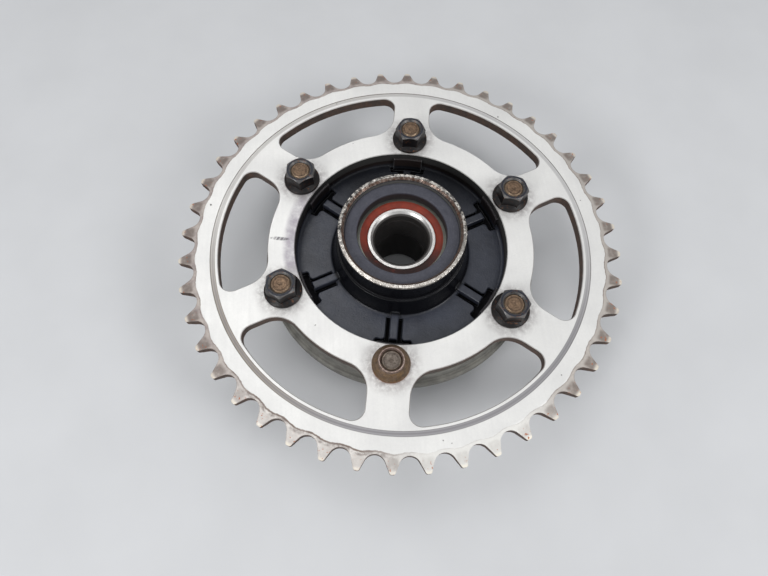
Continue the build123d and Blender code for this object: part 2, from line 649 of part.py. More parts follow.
# ---- assembly ----------------------------------------------------------------------------------------
save("sprocket", make_sprocket())
save("carrier", make_carrier())
for number, angle in enumerate(stud_angles, start=1):
    has_round_nut = number == ROUND_NUT_STUD
    stud = make_stud(DEEP_STUD_REACH if has_round_nut else STUD_REACH)
    nut = make_round_nut() if has_round_nut else make_flange_nut(NUT_TURNS.get(number, 0) - angle)
    nut_name = "round_nut" if has_round_nut else f"flange_nut_{number}"
    save(f"stud_{number}", at_angle(angle, stud_circle_radius, 0, stud))
    save(nut_name, at_angle(angle, stud_circle_radius, face_height, nut))
save("bearing_outer_ring", make_bearing_outer_ring())
save("bearing_inner_ring", make_bearing_inner_ring())
save("bearing_cage", make_cage())
for number, angle in enumerate(ball_angles, start=1):
    save(f"bearing_ball_{number}", make_ball(angle))
save("bearing_seal_outboard", make_bearing_seal(bearing_top - BEARING_SEAL_RECESS - BEARING_SEAL_THICKNESS))
save("bearing_seal_inboard", make_bearing_seal(bearing_bottom + BEARING_SEAL_RECESS))
save("circlip", make_circlip())
save("oil_seal_case", make_seal_case())
save("oil_seal_body", make_seal_body())
save("oil_seal_lip", make_seal_lip())
save("oil_seal_spring", make_seal_spring())
save("outboard_collar", make_collar())
save("inboard_sleeve", make_sleeve())
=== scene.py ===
"""Looks for the motorcycle rear sprocket on its cush-drive carrier: materials, soft light, floor and camera.

Masks are worked out in mm in the part's own frame: z is the wheel axis, radius and angle go round it.
"""
import json
from math import atan2, cos, hypot, pi, radians, sin

import bpy
from mathutils import Matrix, Vector


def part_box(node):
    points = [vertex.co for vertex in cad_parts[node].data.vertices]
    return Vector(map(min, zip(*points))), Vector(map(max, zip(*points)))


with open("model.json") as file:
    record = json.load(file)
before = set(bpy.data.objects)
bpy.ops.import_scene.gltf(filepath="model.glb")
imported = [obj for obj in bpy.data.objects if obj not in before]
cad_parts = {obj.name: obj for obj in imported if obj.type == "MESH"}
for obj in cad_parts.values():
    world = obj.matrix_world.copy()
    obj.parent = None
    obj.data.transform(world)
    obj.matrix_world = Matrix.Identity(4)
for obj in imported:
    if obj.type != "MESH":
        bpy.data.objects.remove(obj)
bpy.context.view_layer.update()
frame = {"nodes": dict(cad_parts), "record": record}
MM = 0.001

# ---- places on the part, in mm, most of them read from the frame -------------------------------------
TOOTH_COUNT = 44
STUD_COUNT = 6
GROOVE_RADII = (95.4, 98.0)
BEVEL_RADIUS = 105.0
BORE_RADIUS = 55.0
BOSS_RADIUS = 32.0
BORE_OF_BOSS = 29.0
WEB_TOP = 36.0
LIP_EDGE = 69.0


def size_of(node):
    """Low and high corners of a node's box, in mm."""
    low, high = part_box(node)
    return low / MM, high / MM


SEAT_TOP = size_of("sprocket")[0].z
FACE_TOP = size_of("sprocket")[1].z
TIP_RADIUS = size_of("sprocket")[1].x
RIM_TOP = size_of("carrier")[1].z
STUD_RADIUS = (size_of("stud_1")[1].x - size_of("stud_1")[0].x) / 2
STUD_CIRCLE = (size_of("stud_2")[0].y + size_of("stud_2")[1].y) / 2
NUT_TOP = size_of("flange_nut_1")[1].z
SEAL_TOP = size_of("oil_seal_body")[1].z
AXLE_RADIUS = frame["record"]["mounts"][0]["dims"]["r_mm"]
TIP_CIRCLE_BAND = 0.2               # vertices this near the tip circle belong to a tooth's tip


def tooth_phase():
    """Angle in radians of one tooth tip, from the vertices that lie on the tip circle."""
    tips = [v.co for v in frame["nodes"]["sprocket"].data.vertices
            if hypot(v.co.x, v.co.y) / MM > TIP_RADIUS - TIP_CIRCLE_BAND]
    across = sum(cos(TOOTH_COUNT * atan2(p.y, p.x)) for p in tips)
    along = sum(sin(TOOTH_COUNT * atan2(p.y, p.x)) for p in tips)
    return atan2(along, across) / TOOTH_COUNT


def colour(red, green, blue):
    """Screen colour, 0 to 255, as the linear colour that shaders use."""
    shares = [level / 255 for level in (red, green, blue)]
    return tuple(share / 12.92 if share < 11 / 255 else ((share + 0.055) / 1.055) ** 2.4 for share in shares)


# ---- node building -----------------------------------------------------------------------------------
NOISE_SPREAD = 0.6                  # share of the raw noise's range that is stretched to 0 to 1
STREAK_RADIUS = 30.0                # radius in mm where round_streaks has its stated length
SHADING_SAMPLES = 6                 # rays of each bevel and occlusion node
ALMOST_ONE = 0.99999                # keeps an arc cosine inside its domain
SPOT_OUTSIDE, SPOT_INSIDE = 1.1, 0.7    # a spot fades from this many sizes to this many


class Look:
    """One material, built from small masks.

    A mask or pattern is a number or another node's output. Sizes in mm and angles in degrees are numbers.
    """

    def __init__(self, slot):
        self.material = bpy.data.materials.new(slot)
        self.material.use_nodes = True
        self.tree = self.material.node_tree
        self.shader = self.tree.nodes["Principled BSDF"]
        coordinates = self.tree.nodes.new("ShaderNodeTexCoord")
        self.place = self.vector("SCALE", coordinates.outputs["Object"], scale=1 / MM)
        self.x, self.y, self.z = self.parts(self.place)
        self.up = self.parts(coordinates.outputs["Normal"])[2]
        self.radius = self.length(self.x, self.y)
        self.angle = self.math("ARCTAN2", self.y, self.x)

    def put(self, socket, value):
        """Link a node's output to a socket, or set the socket to a number or colour."""
        if isinstance(value, bpy.types.NodeSocket):
            self.tree.links.new(value, socket)
        elif isinstance(value, tuple) and len(value) == 3 and len(socket.default_value) == 4:
            socket.default_value = (*value, 1)
        else:
            socket.default_value = value

    def math(self, operation, *values, clamp=False):
        node = self.tree.nodes.new("ShaderNodeMath")
        node.operation = operation
        node.use_clamp = clamp
        for socket, value in zip(node.inputs, values):
            self.put(socket, value)
        return node.outputs[0]

    def vector(self, operation, *values, scale=None):
        node = self.tree.nodes.new("ShaderNodeVectorMath")
        node.operation = operation
        for socket, value in zip(node.inputs, values):
            self.put(socket, value)
        if scale is not None:
            self.put(node.inputs["Scale"], scale)
        return node.outputs["Value" if operation == "DOT_PRODUCT" else "Vector"]

    def parts(self, vector):
        node = self.tree.nodes.new("ShaderNodeSeparateXYZ")
        self.put(node.inputs[0], vector)
        return node.outputs

    def join(self, x, y, z):
        node = self.tree.nodes.new("ShaderNodeCombineXYZ")
        for socket, value in zip(node.inputs, (x, y, z)):
            self.put(socket, value)
        return node.outputs[0]

    def length(self, across, along):
        """Distance made up of two parts at right angles."""
        squares = [self.math("POWER", value, 2) for value in (across, along)]
        return self.math("SQRT", self.math("ADD", *squares))

    def both(self, *masks):
        result = masks[0]
        for mask in masks[1:]:
            result = self.math("MULTIPLY", result, mask, clamp=True)
        return result

    def either(self, *masks):
        result = masks[0]
        for mask in masks[1:]:
            result = self.math("MAXIMUM", result, mask)
        return result

    def rise(self, value, start, end):
        """0 before start, 1 past end, smooth between. With start above end it falls instead."""
        node = self.tree.nodes.new("ShaderNodeMapRange")
        node.interpolation_type = "SMOOTHSTEP"
        self.put(node.inputs["Value"], value)
        self.put(node.inputs["From Min"], start)
        self.put(node.inputs["From Max"], end)
        return node.outputs["Result"]

    def band(self, value, low, high, soft):
        """1 between low and high, with each side fading over twice soft."""
        return self.both(self.rise(value, low - soft, low + soft), self.rise(value, high + soft, high - soft))

    def noise(self, size, detail=3.0, rough=0.55, place=None, contrast=1.0, lean=0.0):
        """Cloudy 0 to 1 pattern with features of about the given size. Lean above 0 gives more of it."""
        node = self.tree.nodes.new("ShaderNodeTexNoise")
        self.put(node.inputs["Vector"], place or self.place)
        self.put(node.inputs["Scale"], 1 / size)
        self.put(node.inputs["Detail"], detail)
        self.put(node.inputs["Roughness"], rough)
        half = 0.5 / contrast * NOISE_SPREAD
        return self.rise(node.outputs["Fac"], 0.5 - half - lean, 0.5 + half - lean)

    def streaks(self, turn, length, width, contrast=1.0, lean=0.0):
        """Noise drawn out along a direction in the plane of the ring, turn in degrees from x."""
        c, s = cos(radians(turn)), sin(radians(turn))
        along = self.math("ADD", self.math("MULTIPLY", self.x, c), self.math("MULTIPLY", self.y, s))
        across = self.math("ADD", self.math("MULTIPLY", self.x, -s), self.math("MULTIPLY", self.y, c))
        place = self.join(self.math("MULTIPLY", along, width / length), across, self.z)
        return self.noise(width, 4.0, 0.6, place, contrast, lean)

    def round_streaks(self, length, width, contrast=1.0, lean=0.0):
        """Noise drawn out round the axis, as turned or rubbed surfaces have it."""
        unrolled = self.math("DIVIDE", STREAK_RADIUS, self.radius)
        turn = self.vector("SCALE", self.join(self.x, self.y, 0.0), scale=unrolled)
        place = self.join(self.radius, self.z, 0.0)
        around = self.vector("ADD", place, self.vector("SCALE", turn, scale=width / length))
        return self.noise(width, 3.0, 0.6, around, contrast, lean)

    def edge(self, width, low=0.02, high=0.2):
        """1 on edges: where the normal averaged over width mm leaves the surface's own normal."""
        bevel = self.tree.nodes.new("ShaderNodeBevel")
        bevel.samples = SHADING_SAMPLES
        self.put(bevel.inputs["Radius"], width * MM)
        normal = self.tree.nodes.new("ShaderNodeNewGeometry").outputs["Normal"]
        agreement = self.vector("DOT_PRODUCT", bevel.outputs["Normal"], normal)
        return self.rise(self.math("SUBTRACT", 1.0, agreement), low, high)

    def crevice_shade(self, reach, low=0.35, high=0.9):
        """Ambient occlusion mask, 1 in corners and round the feet of other parts, where painted shade is
        laid.
        """
        node = self.tree.nodes.new("ShaderNodeAmbientOcclusion")
        node.samples = SHADING_SAMPLES
        self.put(node.inputs["Distance"], reach * MM)
        return self.rise(node.outputs["AO"], high, low)

    def spot(self, radius, angle, size, ragged=0.6, squash=1.0):
        """Ragged dot at a radius and an angle in degrees. Squash above 1 flattens it in y."""
        centre = (radius * cos(radians(angle)), radius * sin(radians(angle)))
        across = self.math("SUBTRACT", self.x, centre[0])
        along = self.math("MULTIPLY", self.math("SUBTRACT", self.y, centre[1]), squash)
        wobble = self.math("MULTIPLY", self.noise(size, 2.0), size * ragged)
        apart = self.math("ADD", self.length(across, along), wobble)
        return self.rise(apart, size * SPOT_OUTSIDE, size * SPOT_INSIDE)

    def sector(self, start, end, soft=8.0):
        """1 between two angles in degrees round the axis, start below end, either may pass 180."""
        middle, half = radians((start + end) / 2), radians((end - start) / 2)
        towards = self.math("COSINE", self.math("SUBTRACT", self.angle, middle))
        away = self.math("ARCCOSINE", self.math("MULTIPLY", towards, ALMOST_ONE))
        return self.rise(away, half + radians(soft), half - radians(soft))

    def around_studs(self):
        """Distance in mm from the nearest stud's middle."""
        step = 2 * pi / STUD_COUNT
        local = self.math("SUBTRACT", self.math("FLOORED_MODULO", self.angle, step), step / 2)
        across = self.math("MULTIPLY", self.radius, self.math("COSINE", local))
        across = self.math("SUBTRACT", across, STUD_CIRCLE)
        return self.length(across, self.math("MULTIPLY", self.radius, self.math("SINE", local)))

    def mix(self, amount, first, second):
        """Colour between first and second. Sockets 0, 6 and 7 are the amount and the two colours."""
        node = self.tree.nodes.new("ShaderNodeMix")
        node.data_type = "RGBA"
        self.put(node.inputs[0], amount)
        self.put(node.inputs[6], first)
        self.put(node.inputs[7], second)
        return node.outputs[2]

    def paint(self, base, paint, *masks):
        """The base with paint over it where every mask is 1. A number among the masks is an amount."""
        return self.mix(self.both(*masks), base, paint)

    def blend(self, amount, first, second):
        """Number between first and second. Sockets 0, 2 and 3 are the amount and the two numbers."""
        node = self.tree.nodes.new("ShaderNodeMix")
        self.put(node.inputs[0], amount)
        self.put(node.inputs[2], first)
        self.put(node.inputs[3], second)
        return node.outputs[0]

    def bump(self, *layers):
        """Layers are (pattern, height in mm)."""
        normal = None
        for pattern, height in layers:
            node = self.tree.nodes.new("ShaderNodeBump")
            self.put(node.inputs["Distance"], height * MM)
            self.put(node.inputs["Height"], pattern)
            if normal:
                self.put(node.inputs["Normal"], normal)
            normal = node.outputs["Normal"]
        self.put(self.shader.inputs["Normal"], normal)

    def finish(self, base, metallic, roughness, **extra):
        """Set the shader's inputs and give the material. Extra inputs have _ for each space in their name."""
        self.put(self.shader.inputs["Base Color"], base)
        self.put(self.shader.inputs["Metallic"], metallic)
        self.put(self.shader.inputs["Roughness"], roughness)
        for name, value in extra.items():
            self.put(self.shader.inputs[name.replace("_", " ")], value)
        return self.material


# ---- plated ring -------------------------------------------------------------------------------------
# each nick's radius, angle in degrees and size
NICKS = [(102.9, 173.0, 0.8), (97.0, 117.0, 0.7), (99.4, 60.0, 0.8), (101.0, 285.0, 0.5), (103.0, 287.0, 0.6),
         (62.0, 232.0, 0.5), (100.5, 20.0, 0.5), (67.0, 118.0, 0.4), (102.0, 322.0, 0.5)]
NICK_RAGGEDNESS = 0.8


def handling_marks(look, base):
    """Smears between the bore and the windows, strongest at the left, grime round the nuts and scratches."""
    smear_and_shade = look.both(look.sector(146, 206, 10), look.band(look.radius, 50, 60.5, 1.6),
                      look.noise(5.0, 4.0, 0.65, lean=0.1))
    base = look.paint(base, colour(146, 139, 148), smear_and_shade, 0.9)
    smudge = look.both(look.spot(63.0, 183.5, 6.0, 0.3, 4.5), look.streaks(65.0, 9.0, 0.7, 2.0, 0.1))
    base = look.paint(base, colour(82, 78, 84), smudge, 0.85)
    halo = look.both(look.rise(look.around_studs(), 17.0, 9.3),
                     look.noise(2.6, 5.0, 0.7, contrast=1.6, lean=0.02))
    base = look.paint(base, colour(146, 141, 140), halo, 0.75)
    scratches = look.both(look.streaks(35.0, 60.0, 0.35, 6.0, -0.2), look.noise(16.0, lean=-0.05))
    return look.paint(base, colour(150, 148, 150), scratches, 0.35)


def turned_groove(look, base, flat):
    """Grime in the turned groove, thickest at the near side and browner at the left, with painted shade along
    its centre line.
    """
    inner, outer = GROOVE_RADII
    left = look.sector(95, 245, 20)
    filled = look.blend(look.sector(192, 352, 22), 0.35, 0.95)
    tone = look.mix(left, colour(152, 151, 153), colour(146, 137, 126))
    tone = look.paint(tone, colour(105, 102, 104), look.round_streaks(14.0, 0.5), 0.4)
    base = look.paint(base, tone, look.both(look.band(look.radius, inner, outer, 0.12), flat), filled)
    # painted shade: the groove's centre line darkened as the bottom of a V groove
    groove_core_shade = look.both(look.band(look.radius, inner + 0.8, outer - 0.9, 0.4), flat, filled)
    base = look.paint(base, colour(112, 108, 112), groove_core_shade, 0.6)
    sides = look.either(look.band(look.radius, inner, inner + 0.4, 0.12),
                        look.band(look.radius, outer - 0.4, outer, 0.12))
    return look.paint(base, colour(84, 74, 68), look.both(sides, flat), look.blend(left, 0.15, 0.5), filled)


def worn_teeth(look, base):
    """Teeth bare and stained outside a scalloped line. Gives the colour and the mask of the worn part."""
    turns = look.math("MULTIPLY", look.math("SUBTRACT", look.angle, tooth_phase()), float(TOOTH_COUNT))
    tooth = look.math("COSINE", turns)
    line = look.math("ADD", BEVEL_RADIUS - 0.2, look.math("MULTIPLY", tooth, 0.5))
    line = look.math("ADD", line, look.math("MULTIPLY", look.noise(2.0), 0.4))
    beyond = look.math("SUBTRACT", look.radius, line)
    worn = look.rise(beyond, -0.15, 0.35)
    # painted reflection: the tooth bevels from 272 to 312 degrees are painted nearly white as if the sky
    # shone in them, and dark marks are kept faint there
    bevel_reflection = look.sector(272, 312, 10)
    near_left = look.sector(228, 274, 10)
    right_side = look.sector(-75, 85, 15)

    stain_and_reflection = look.mix(look.noise(4.0, 4.0, 0.65), colour(176, 166, 158), colour(126, 113, 111))
    stain_and_reflection = look.paint(stain_and_reflection, colour(166, 160, 153), right_side, 0.7)
    stain_and_reflection = look.paint(stain_and_reflection, colour(206, 201, 196), near_left, look.noise(5.0, 3.0, lean=0.2), 0.95)
    # painted reflection: the stain turns nearly white on the lower right bevels
    stain_and_reflection = look.paint(stain_and_reflection, colour(214, 213, 209), bevel_reflection, 0.85)
    base = look.paint(base, stain_and_reflection, worn, 0.9)

    centre = look.both(look.rise(tooth, 0.15, 0.8), look.band(look.radius, 107.4, 112.4, 0.9),
                       look.noise(3.0, lean=0.2))
    base = look.paint(base, colour(104, 93, 86), centre, look.blend(look.either(bevel_reflection, near_left), 0.8, 0.2))
    outline = look.both(look.edge(0.9), worn, look.noise(2.5, 3.0, lean=0.15))
    base = look.paint(base, colour(88, 70, 60), outline, look.blend(bevel_reflection, 0.7, 0.15))
    tip = look.both(look.rise(look.radius, TIP_RADIUS - 1.9, TIP_RADIUS - 0.5), look.noise(4.0, lean=0.15))
    base = look.paint(base, colour(222, 214, 198), tip, 0.7)

    breaks = look.blend(near_left, look.noise(7.0, 3.0, lean=0.05), look.noise(5.0, 3.0, lean=0.2))
    width = look.blend(near_left, look.band(beyond, 0.0, 0.35, 0.15), look.band(beyond, 0.0, 0.8, 0.15))
    base = look.paint(base, colour(92, 70, 56), width, breaks, look.blend(bevel_reflection, 0.85, 0.15))
    patches = look.both(look.band(beyond, 0.2, 2.2, 0.5),
                        look.noise(3.2, 4.0, 0.65, contrast=1.8, lean=-0.02), near_left)
    base = look.paint(base, colour(96, 82, 76), patches, 0.8)
    specks = look.both(look.noise(1.3, 2.0, 0.5, contrast=5.0, lean=-0.17),
                       look.rise(look.radius, 107.0, 110.0))
    return look.paint(base, colour(158, 84, 36), specks), worn


def walls_and_back(look, base, wall, underside):
    """Rust crusted on the walls of teeth and windows, the bore wall painted near black as painted shade, a
    greasy film on the back, edges rubbed bright.
    """
    crust_and_shade = look.mix(look.noise(2.5, 4.0, 0.7), colour(44, 36, 33), colour(78, 58, 46))
    crust_and_shade = look.paint(crust_and_shade, colour(96, 62, 44), look.noise(5.0, 3.0, lean=-0.1), 0.5)
    # painted shade: the bore wall is painted near black
    crust_and_shade = look.paint(crust_and_shade, colour(18, 16, 16), look.rise(look.radius, BORE_RADIUS + 2, BORE_RADIUS + 1))
    base = look.paint(base, crust_and_shade, wall, 0.96)
    grease_and_shade = look.mix(look.noise(9.0, 4.0, 0.65), colour(120, 114, 108), colour(70, 62, 56))
    base = look.paint(base, grease_and_shade, underside, look.blend(look.noise(14.0), 0.35, 0.85))
    edge = look.both(look.edge(0.5, 0.03, 0.25), look.noise(3.0, 4.0, 0.6, lean=0.1))
    return look.paint(base, colour(176, 172, 166), edge, wall, 0.7)


def plated_steel():
    """Bright plate, dulled by handling, with grimy walls, worn teeth and grime round the nuts; painted shade
    in the groove and on the bore wall, and a painted reflection on the lower right teeth.
    """
    look = Look("plated_steel")
    flat = look.rise(look.up, 0.5, 0.9)
    underside = look.rise(look.up, -0.5, -0.9)
    wall = look.math("SUBTRACT", 1.0, look.either(flat, underside), clamp=True)
    brushed = look.streaks(100.0, 26.0, 1.7, 1.1)
    base = look.mix(look.noise(28.0, 4.0, 0.6), colour(224, 223, 220), colour(207, 206, 204))
    base = look.paint(base, colour(196, 195, 195), brushed, 0.16)
    base = look.paint(base, colour(170, 168, 168), look.noise(1.1, 3.0, 0.7), 0.12)
    base = handling_marks(look, base)
    base = turned_groove(look, base, flat)
    base, worn = worn_teeth(look, base)
    marks = look.either(*[look.spot(*nick, NICK_RAGGEDNESS) for nick in NICKS])
    base = look.paint(base, colour(62, 56, 54), marks, flat, 0.85)
    base = walls_and_back(look, base, wall, underside)

    dirty = look.either(look.both(wall, 0.9), look.both(worn, 0.4), look.both(underside, 0.6), marks)
    rough = look.blend(dirty, look.blend(brushed, 0.42, 0.5), 0.75)
    look.bump((look.noise(0.5, 3.0, 0.7), 0.012), (brushed, 0.006), (marks, -0.15),
              (look.both(worn, look.noise(1.6, 3.0)), 0.12), (look.both(wall, look.noise(0.9, 3.0)), 0.12))
    return look.finish(base, look.blend(dirty, 0.4, 0.2), rough)


# ---- black carrier -----------------------------------------------------------------------------------
def outside_and_vanes(look, base, outside, below, film):
    """Dust outside the ring, grey film low down and vanes rubbed dark by the rubber blocks."""
    dust = look.mix(look.noise(6.0, 4.0, 0.65), colour(122, 120, 112), colour(88, 86, 80))
    base = look.paint(base, dust, outside, 0.85)
    base = look.paint(base, colour(92, 86, 78), film)
    upright = look.rise(look.math("ABSOLUTE", look.up), 0.3, 0.1)
    rubbed = look.both(upright, below, look.band(look.z, 3.0, 22.0, 3.0), look.rise(look.radius, 38, 42),
                       look.noise(9.0, lean=0.1))
    return look.paint(base, colour(30, 30, 32), rubbed, 0.6)


def boss_rim(look, base):
    """Rim chipped to bare metal, with a rusty line just inside it. Gives the colour and the chips' mask."""
    zone = look.both(look.rise(look.z, RIM_TOP - 1.4, RIM_TOP - 0.5),
                     look.rise(look.radius, BORE_OF_BOSS - 0.4, BORE_OF_BOSS + 0.3))
    near_side = look.both(look.sector(205, 345, 30), look.noise(4.0, 4.0, lean=0.25))
    chips = look.both(zone, look.either(look.noise(2.1, 5.0, 0.7, contrast=2.2), near_side))
    bare = look.mix(look.noise(1.2, 3.0, 0.7), colour(222, 218, 212), colour(138, 130, 122))
    base = look.paint(base, bare, chips)
    inside = look.both(look.band(look.radius, BORE_OF_BOSS + 0.1, BORE_OF_BOSS + 1.3, 0.15),
                       look.rise(look.z, RIM_TOP - 1.6, RIM_TOP - 0.9))
    rust = look.mix(look.noise(2.0), colour(92, 58, 38), colour(48, 36, 30))
    return look.paint(base, rust, inside, 0.75), chips


def black_casting():
    """Satin black paint on cast aluminium, bare and chipped at the boss rim, dusty outside the ring."""
    look = Look("black_casting")
    # black paint tinted blue-grey: the black is the paint's own, the blue-grey lift is a painted sky
    # reflection
    base = look.mix(look.noise(11.0, 4.0, 0.6), colour(46, 50, 62), colour(34, 37, 47))
    base = look.paint(base, colour(58, 61, 72), look.noise(2.2, 3.0, lean=-0.05), 0.3)

    # painted shade: the pockets, the boss wall and the far side of the web are painted darker, near black
    pocket_shade = look.both(look.rise(look.z, WEB_TOP - 0.5, WEB_TOP - 1.6),
                       look.rise(look.radius, BORE_RADIUS + 1, BORE_RADIUS))
    pocket_shade = look.both(pocket_shade, look.rise(look.z, WEB_TOP - 4.5, WEB_TOP - 3.9))
    base = look.paint(base, colour(8, 7, 8), pocket_shade, 0.95)
    # painted shade: the boss wall painted near black, with its specular turned down through dull below
    boss = look.both(look.rise(look.radius, BOSS_RADIUS + 6.5, BOSS_RADIUS + 4.5),
                     look.rise(look.z, WEB_TOP - 0.5, WEB_TOP + 0.8))
    base = look.paint(base, colour(8, 8, 10), boss, 0.95)
    # painted shadow: the web on the far side, between the boss and the bore, painted near black in blotches
    far = look.both(look.sector(38, 142, 25), look.rise(look.z, WEB_TOP - 1, WEB_TOP - 0.5),
                    look.rise(look.radius, LIP_EDGE - 4, LIP_EDGE - 6))
    base = look.paint(base, colour(11, 12, 15), far, look.noise(7.0, 4.0, lean=0.35), 0.85)

    lugs = look.both(look.rise(look.z, SEAT_TOP - 3.5, SEAT_TOP - 2.5),
                     look.band(look.radius, BORE_RADIUS - 2, BORE_RADIUS + 1, 0.4))
    base = look.paint(base, colour(38, 31, 29), lugs, 0.8)
    outside = look.rise(look.radius, LIP_EDGE - 3.0, LIP_EDGE - 1.0)
    below = look.rise(look.z, SEAT_TOP - 9, SEAT_TOP - 14)
    film = look.both(below, look.noise(8.0, 5.0, 0.65), 0.5)
    base = outside_and_vanes(look, base, outside, below, film)
    # painted shade: corners and the feet of the nuts and studs darkened from ambient occlusion
    crevice_shade = look.crevice_shade(5.0)
    base = look.paint(base, colour(13, 13, 15), crevice_shade, 0.5)
    worn_edge = look.both(look.edge(0.9, 0.02, 0.22), look.noise(3.5, 4.0, 0.6, lean=0.18))
    base = look.paint(base, colour(104, 106, 110), worn_edge, 0.6)
    base, chips = boss_rim(look, base)

    # machined bore below the seal
    bore = look.both(look.rise(look.radius, BORE_OF_BOSS + 1.6, BORE_OF_BOSS + 1.3),
                     look.rise(look.z, RIM_TOP - 1.4, RIM_TOP - 2.0))
    machined = look.mix(look.round_streaks(20.0, 0.4), colour(150, 148, 144), colour(112, 110, 108))
    base = look.paint(base, machined, bore, 0.85)

    metal = look.either(chips, look.both(bore, 0.85), look.both(worn_edge, 0.35))
    rough = look.blend(metal, look.blend(look.noise(5.0), 0.3, 0.38), 0.34)
    rough = look.blend(boss, rough, 0.24)
    rough = look.blend(look.either(look.both(outside, 0.7), crevice_shade, film), rough, 0.75)
    dull = look.either(pocket_shade, look.both(crevice_shade, 0.8), look.both(boss, 0.75), look.both(far, 0.7))
    look.bump((look.noise(5.0, 2.0), 0.1), (look.noise(0.9, 3.0, 0.6), 0.06), (chips, -0.08))
    return look.finish(base, look.both(metal, 0.85), rough, Specular_IOR_Level=look.blend(dull, 0.45, 0.06))


# ---- nuts and studs ----------------------------------------------------------------------------------
def black_nut():
    """Black oxide, scuffed by sockets on the corners and dusty in the corners of the flange, with a painted
    sheen on the top and a painted highlight on its chamfer.
    """
    look = Look("black_nut")
    base = look.mix(look.noise(3.0, 4.0, 0.6), colour(15, 14, 16), colour(27, 25, 26))
    # painted sheen: the nut's top painted lighter and bluer than its sides, as the sky's reflection
    top = look.both(look.rise(look.up, 0.6, 0.95), look.rise(look.z, NUT_TOP - 1.3, NUT_TOP - 0.8))
    base = look.paint(base, look.mix(look.noise(2.0), colour(46, 50, 60), colour(32, 34, 42)), top, 0.8)
    # painted highlight: the chamfer round the top painted light grey
    bevel = look.both(look.band(look.up, 0.55, 0.93, 0.06), look.rise(look.z, NUT_TOP - 2.6, NUT_TOP - 1.6))
    base = look.paint(base, colour(120, 118, 116), bevel, look.noise(2.0, 4.0, lean=0.1), 0.6)
    edge = look.both(look.edge(0.45), look.noise(1.8, 4.0, 0.65, lean=0.16))
    base = look.paint(base, colour(108, 106, 104), edge, 0.55)
    foot = look.both(look.rise(look.z, FACE_TOP + 2.6, FACE_TOP + 1.4), look.noise(1.6, 4.0, 0.6, lean=0.02))
    base = look.paint(base, colour(52, 44, 39), foot, 0.3)
    rust = look.noise(1.5, 3.0, 0.6, contrast=3.0, lean=-0.16)
    base = look.paint(base, colour(120, 74, 44), rust, 0.6)
    metal = look.either(edge, look.both(bevel, 0.5))
    rough = look.blend(look.noise(1.5), 0.3, 0.48)
    look.bump((look.noise(0.4, 3.0), 0.015), (look.noise(1.6, 2.0), 0.04))
    return look.finish(base, look.both(metal, 0.8), rough, Specular_IOR_Level=0.2)


def rusty_nut():
    """Brown nut with an orange foot and a collar rubbed bright."""
    look = Look("rusty_nut")
    height = look.math("SUBTRACT", look.z, FACE_TOP)
    base = look.mix(look.noise(2.2, 5.0, 0.65), colour(122, 100, 80), colour(64, 50, 40))
    base = look.paint(base, colour(112, 84, 46), look.noise(3.0, 4.0, 0.6, contrast=1.6, lean=-0.03), 0.7)
    foot = look.both(look.rise(height, 2.6, 1.2), look.noise(1.5, 4.0, 0.65, lean=0.12))
    base = look.paint(base, colour(156, 92, 44), foot, 0.85)
    pits = look.noise(0.8, 4.0, 0.7, contrast=2.0, lean=-0.05)
    base = look.paint(base, colour(36, 27, 23), pits, 0.5)
    collar = look.both(look.rise(height, 6.3, 6.9), look.noise(1.6, 3.0, lean=0.22))
    rubbed = look.mix(look.noise(1.0), colour(176, 156, 148), colour(120, 104, 98))
    base = look.paint(base, rubbed, collar, 0.9)
    edge = look.both(look.edge(0.4, 0.03), look.noise(1.2, 3.0, lean=0.05))
    base = look.paint(base, colour(176, 160, 146), edge, 0.5)
    look.bump((pits, -0.06), (look.noise(1.8, 3.0), 0.12))
    return look.finish(base, look.blend(collar, 0.3, 0.9), look.blend(collar, 0.62, 0.33))


def stud_steel():
    """Stud gone brown and gold, greyer in the round nut, with a darker ring near the edge of its end."""
    look = Look("stud_steel")
    out = look.around_studs()
    grain = look.noise(1.6, 4.0, 0.6)
    base = look.mix(grain, colour(136, 112, 90), colour(92, 74, 60))
    grey = look.mix(grain, colour(124, 117, 110), colour(84, 77, 72))
    base = look.paint(base, grey, look.sector(258, 282, 4), 0.85)
    ring = look.band(out, STUD_RADIUS - 1.9, STUD_RADIUS - 1.1, 0.2)
    base = look.paint(base, colour(46, 38, 32), ring, look.noise(3.5, lean=0.05), 0.55)
    centre = look.rise(out, 1.3, 0.8)
    base = look.paint(base, colour(72, 60, 50), centre, 0.25)
    bright = look.both(look.band(out, STUD_RADIUS - 0.9, STUD_RADIUS - 0.2, 0.15),
                       look.noise(2.4, 3.0, lean=0.02))
    base = look.paint(base, colour(168, 150, 128), bright, 0.5)
    pits = look.noise(0.7, 3.0, contrast=2.5, lean=-0.08)
    base = look.paint(base, colour(44, 34, 28), pits, 0.5)
    look.bump((ring, -0.12), (pits, -0.05), (centre, -0.15))
    return look.finish(base, 0.75, look.blend(look.noise(1.0), 0.36, 0.55))


